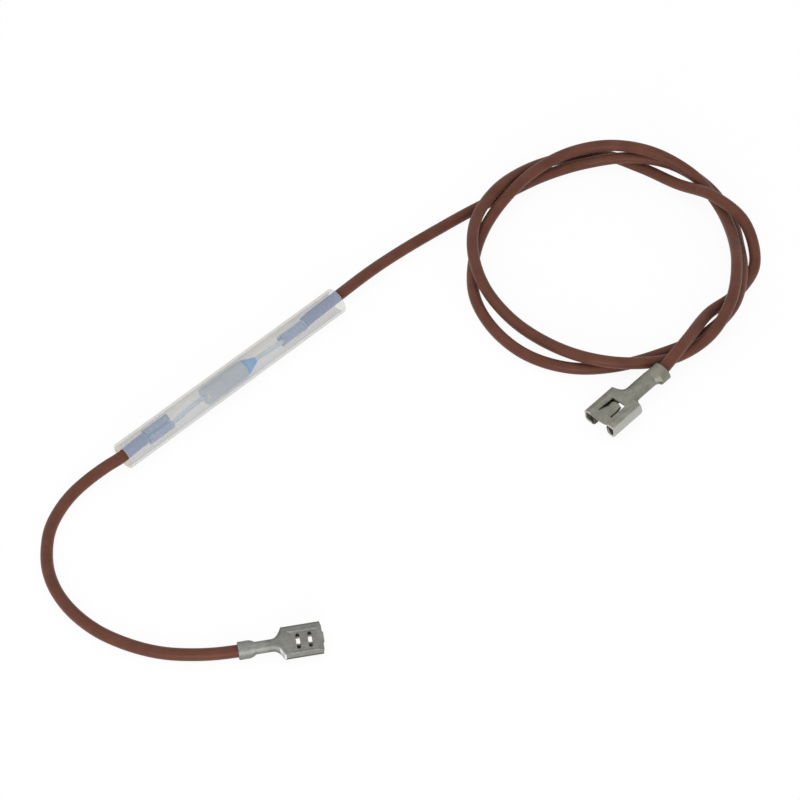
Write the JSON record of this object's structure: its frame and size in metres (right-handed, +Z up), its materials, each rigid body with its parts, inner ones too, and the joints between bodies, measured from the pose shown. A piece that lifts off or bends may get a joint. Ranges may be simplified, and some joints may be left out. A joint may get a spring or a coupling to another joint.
{
  "type": "thermal fuse with wire leads",
  "caption": "Thermal fuse in a clear sleeve, spliced to a short and a long insulated lead that end in push-on receptacles.",
  "frame": {"origin": "under the middle of the clear sleeve, on the surface it lies on; the leads and what is on them are left out of the measure", "axes": "+X along the sleeve towards the long lead, +Z up from the surface, +Y across the sleeve away from both terminals"},
  "size_m": [0.1723, 0.0674, 0.008],
  "materials": {
    "clear_sleeve": "clear, slightly milky",
    "cup_metal": "dull plated",
    "blue_resin": "cast, satin",
    "ceramic": "fired, matt",
    "pellet_compound": "pressed powder",
    "spring_steel": "drawn",
    "silver_plate": "plated",
    "tinned_wire": "tinned",
    "crimp_band": "tinned, pressed",
    "copper_strand": "twisted",
    "wire_insulation": "extruded, satin",
    "tinned_plate": "dull tinned, stamped"
  },
  "bodies": {
    "root": {"insulating_sleeve": "clear_sleeve", "cutoff_case": "cup_metal", "epoxy_seal": "blue_resin", "ceramic_bushing": "ceramic", "thermal_pellet": "pellet_compound", "pellet_disc": "spring_steel", "barrel_spring": "spring_steel", "spring_disc": "spring_steel", "star_contact": "silver_plate", "trip_spring": "spring_steel", "case_lead": "tinned_wire", "isolated_lead": "tinned_wire", "splice_short": "crimp_band", "splice_long": "crimp_band", "strands_short_splice": "copper_strand", "strands_long_splice": "copper_strand", "strands_short_terminal": "copper_strand", "strands_long_terminal": "copper_strand", "short_lead": "wire_insulation", "long_lead": "wire_insulation", "terminal_short_lead": "tinned_plate", "terminal_long_lead": "tinned_plate"}
  },
  "joints": []
}
